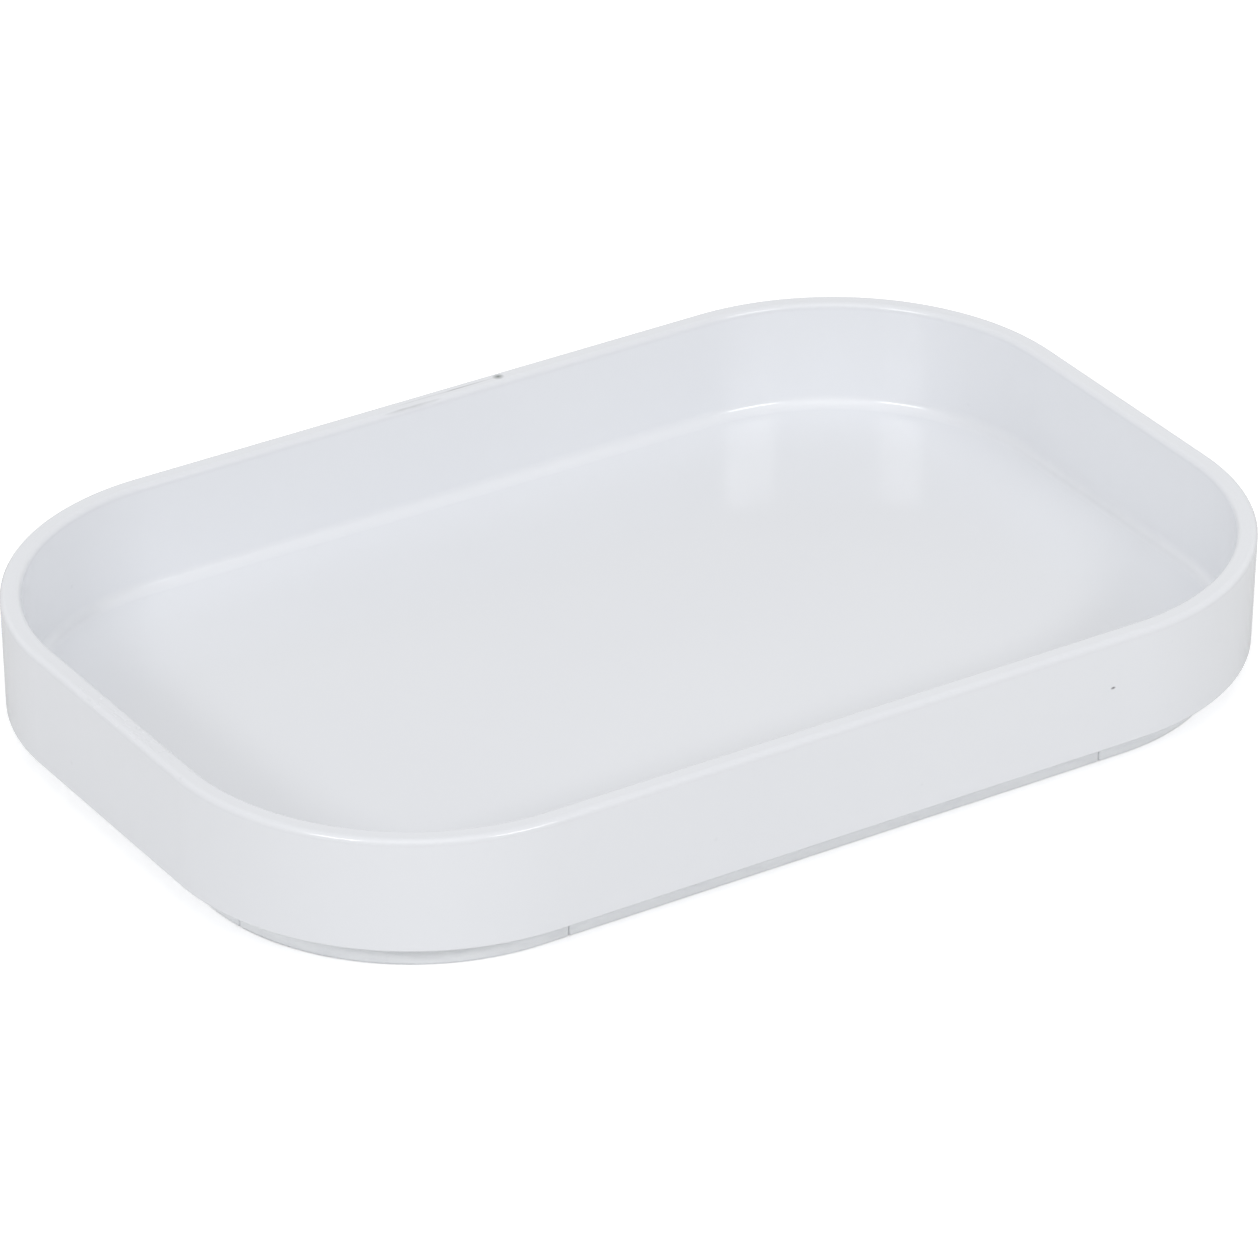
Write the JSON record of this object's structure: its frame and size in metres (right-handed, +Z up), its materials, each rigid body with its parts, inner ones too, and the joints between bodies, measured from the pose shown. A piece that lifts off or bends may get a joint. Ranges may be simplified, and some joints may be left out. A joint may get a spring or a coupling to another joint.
{
  "type": "paint roller tray",
  "caption": "Shallow open tray with large rounded corners, upright walls and a flat floor, raised on a set-back band of non-slip feet.",
  "frame": {"origin": "middle of the plane that the tray stands on", "axes": "+X along the long sides, +Y across the tray towards the back, +Z up out of the open top"},
  "size_m": [0.225, 0.15, 0.0292],
  "materials": {
    "tray_plastic": "gloss moulded white plastic",
    "foot_rubber": "satin soft off-white elastomer"
  },
  "bodies": {
    "root": {"tray_shell": "tray_plastic", "corner_foot_front_left": "foot_rubber", "corner_foot_front_right": "foot_rubber", "corner_foot_back_left": "foot_rubber", "corner_foot_back_right": "foot_rubber", "side_foot_front": "foot_rubber", "side_foot_back": "foot_rubber", "side_foot_left": "foot_rubber", "side_foot_right": "foot_rubber"}
  },
  "joints": []
}
